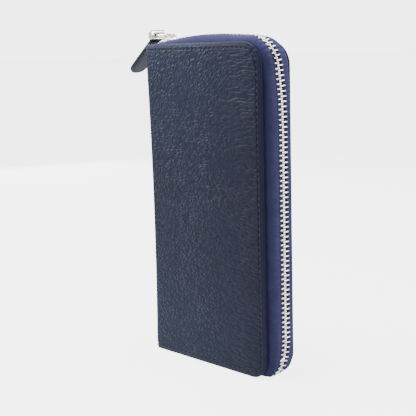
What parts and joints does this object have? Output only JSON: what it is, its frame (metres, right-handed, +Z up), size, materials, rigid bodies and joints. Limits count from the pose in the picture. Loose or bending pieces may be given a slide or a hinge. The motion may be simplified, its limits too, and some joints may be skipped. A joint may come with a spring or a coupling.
{
  "type": "zip around wallet",
  "caption": "Tall leather wallet closed by a metal zip round three sides, with a centre coin pocket, card pockets and a leather pull tab.",
  "frame": {"origin": "foot of the spine, midway through the wallet's thickness, at the middle of the spine leather", "axes": "+Z up the spine, +X from the spine towards the zip side, -Y out of the front cover"},
  "size_m": [0.1227, 0.026, 0.2034],
  "materials": {
    "outer_leather": "pebbled grain, satin",
    "tab_leather": "pebbled grain, satin, painted edge",
    "inner_leather": "smooth, satin",
    "zip_tape": "close herringbone weave",
    "coin_zip_tape": "close woven",
    "lining_cloth": "fine plain weave",
    "stiffener_board": "raw",
    "zip_teeth_metal": "polished nickel",
    "slider_metal": "polished nickel",
    "coin_zip_metal": "polished nickel"
  },
  "bodies": {
    "case": {"spine_leather": "outer_leather", "spine_board": "stiffener_board", "spine_lining": "lining_cloth", "back_leather": "outer_leather", "back_board": "stiffener_board", "back_zip_tape": "zip_tape", "back_zip_teeth": "zip_teeth_metal", "back_lining": "lining_cloth", "back_card_pocket_1": "inner_leather", "back_card_pocket_2": "inner_leather", "back_card_pocket_3": "inner_leather", "back_gusset_top": "lining_cloth", "back_gusset_foot": "lining_cloth", "top_stop_back": "zip_teeth_metal", "foot_stop": "zip_teeth_metal"},
    "front_cover": {"front_leather": "outer_leather", "front_board": "stiffener_board", "front_zip_tape": "zip_tape", "front_zip_teeth": "zip_teeth_metal", "front_lining": "lining_cloth", "front_card_pocket_1": "inner_leather", "front_card_pocket_2": "inner_leather", "front_card_pocket_3": "inner_leather", "front_gusset_top": "lining_cloth", "front_gusset_foot": "lining_cloth", "top_stop_front": "zip_teeth_metal"},
    "coin_pocket": {"coin_pocket_front": "inner_leather", "coin_pocket_back": "inner_leather", "coin_pocket_edge": "inner_leather", "coin_tape_front": "coin_zip_tape", "coin_tape_back": "coin_zip_tape", "coin_teeth_front": "coin_zip_metal", "coin_teeth_back": "coin_zip_metal"},
    "coin_slider": {"coin_slider": "coin_zip_metal"},
    "coin_pull": {"coin_pull": "coin_zip_metal"},
    "slider": {"slider": "slider_metal"},
    "pull_link": {"pull_link": "slider_metal"},
    "puller": {"puller_clasp": "slider_metal", "puller_tab": "tab_leather"}
  },
  "joints": [
    {"name": "front_cover_hinge", "type": "hinge", "parent": "case", "child": "front_cover", "pos_m": [0.00085, -0.013, 0.0975], "axis": [0, 0, -1], "range_deg": [0, 70], "deforming": ["front_gusset_top", "front_gusset_foot"]},
    {"name": "coin_pocket_swing", "type": "hinge", "parent": "case", "child": "coin_pocket", "pos_m": [0.00085, -0.013, 0.0975], "axis": [0, 0, -1], "range_deg": [0, 35], "deforming": ["back_gusset_top", "back_gusset_foot"]},
    {"name": "coin_slider_slide", "type": "slide", "parent": "coin_pocket", "child": "coin_slider", "axis": [0, 0, -1], "range_m": [0, 0.14]},
    {"name": "coin_pull_swing", "type": "hinge", "parent": "coin_slider", "child": "coin_pull", "pos_m": [0.0828, 0, 0.1731], "axis": [0, -1, 0], "range_deg": [0, 35]},
    {"name": "slider_slide", "type": "slide", "parent": "case", "child": "slider", "axis": [0.999, 0, 0.0444], "range_m": [0, 0.062], "deforming": ["puller_tab"]},
    {"name": "pull_link_swing", "type": "hinge", "parent": "slider", "child": "pull_link", "pos_m": [0.0071, 0, 0.19932], "axis": [0, 1, 0], "range_deg": [0, 120]},
    {"name": "puller_swing", "type": "hinge", "parent": "pull_link", "child": "puller", "pos_m": [0.0005, 0, 0.2008], "axis": [0, 1, 0], "range_deg": [0, 60]}
  ],
  "couplings": [
    {"joint": "coin_pocket_swing", "follows": "front_cover_hinge", "ratio": 0.5}
  ]
}
